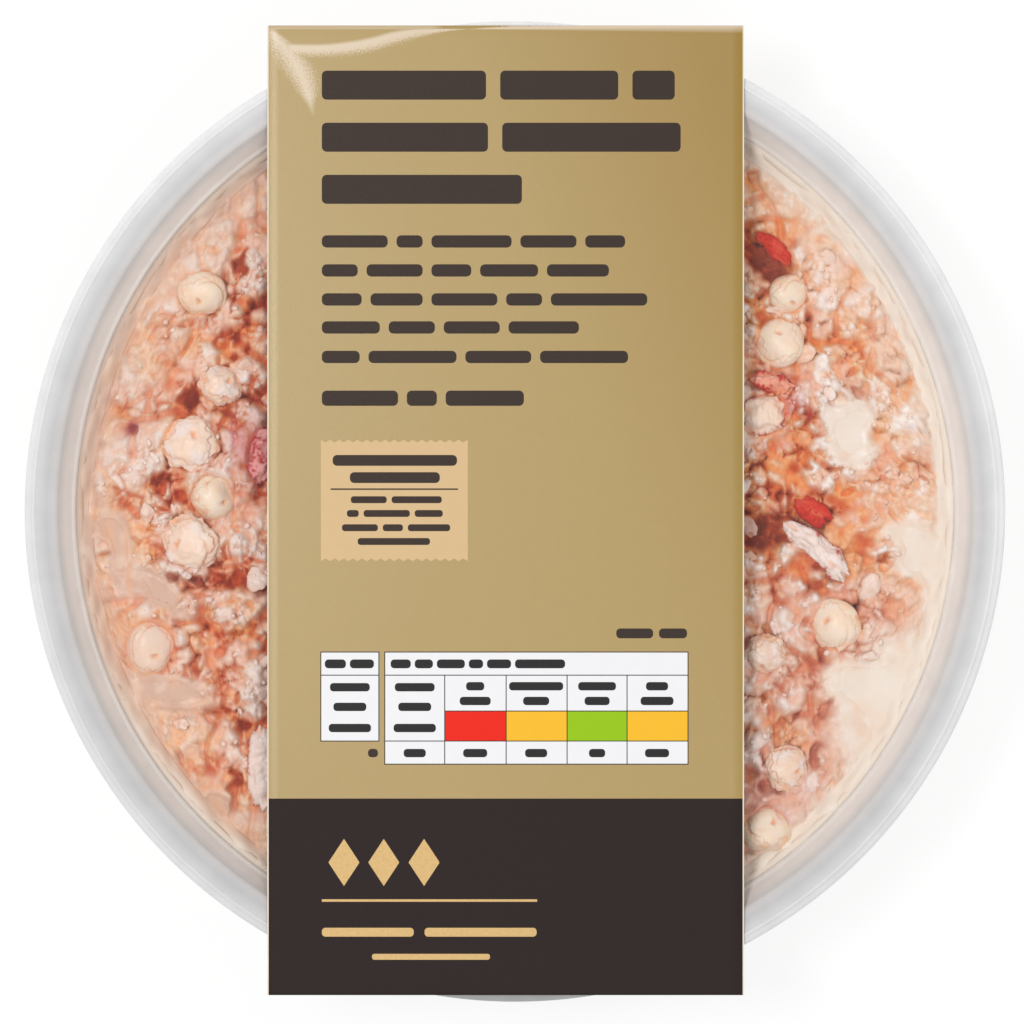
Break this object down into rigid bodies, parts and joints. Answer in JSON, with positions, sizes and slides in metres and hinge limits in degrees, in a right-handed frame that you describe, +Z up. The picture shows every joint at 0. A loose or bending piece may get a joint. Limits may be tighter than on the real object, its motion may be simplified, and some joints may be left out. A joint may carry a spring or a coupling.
{
  "type": "prawn cocktail pack",
  "caption": "Shut round clear tub of prawn cocktail in pale pink sauce, with curled prawns, flaked crab and lobster pieces, a press-on lid and a card sleeve wrapped round it.",
  "frame": {"origin": "on the tub's axis, level with the underside of the card sleeve", "axes": "+Z up out of the lid, +Y along the sleeve towards the top of its print, +X to the right of the print"},
  "size_m": [0.2, 0.2, 0.05],
  "materials": {
    "clear_plastic": "clear, glossy, slightly hazy",
    "printed_card": "satin printed board, gold with a dark end field",
    "sauce": "smooth, wet",
    "crab": "flaky, moist",
    "prawn": "pearly, moist",
    "lobster": "moist, red skinned"
  },
  "bodies": {
    "root": {"tub": "clear_plastic", "lid": "clear_plastic", "sleeve": "printed_card", "cocktail_sauce": "sauce", "crab_heap": "crab", "prawn_01": "prawn", "prawn_02": "prawn", "prawn_03": "prawn", "prawn_04": "prawn", "prawn_05": "prawn", "prawn_06": "prawn", "prawn_07": "prawn", "prawn_08": "prawn", "prawn_09": "prawn", "prawn_10": "prawn", "prawn_11": "prawn", "prawn_12": "prawn", "prawn_13": "prawn", "prawn_14": "prawn", "prawn_15": "prawn", "lobster_01": "lobster", "lobster_02": "lobster", "lobster_03": "lobster", "lobster_04": "lobster", "lobster_05": "lobster", "lobster_06": "lobster", "lobster_07": "lobster", "lobster_08": "lobster", "lobster_09": "lobster"}
  },
  "joints": []
}
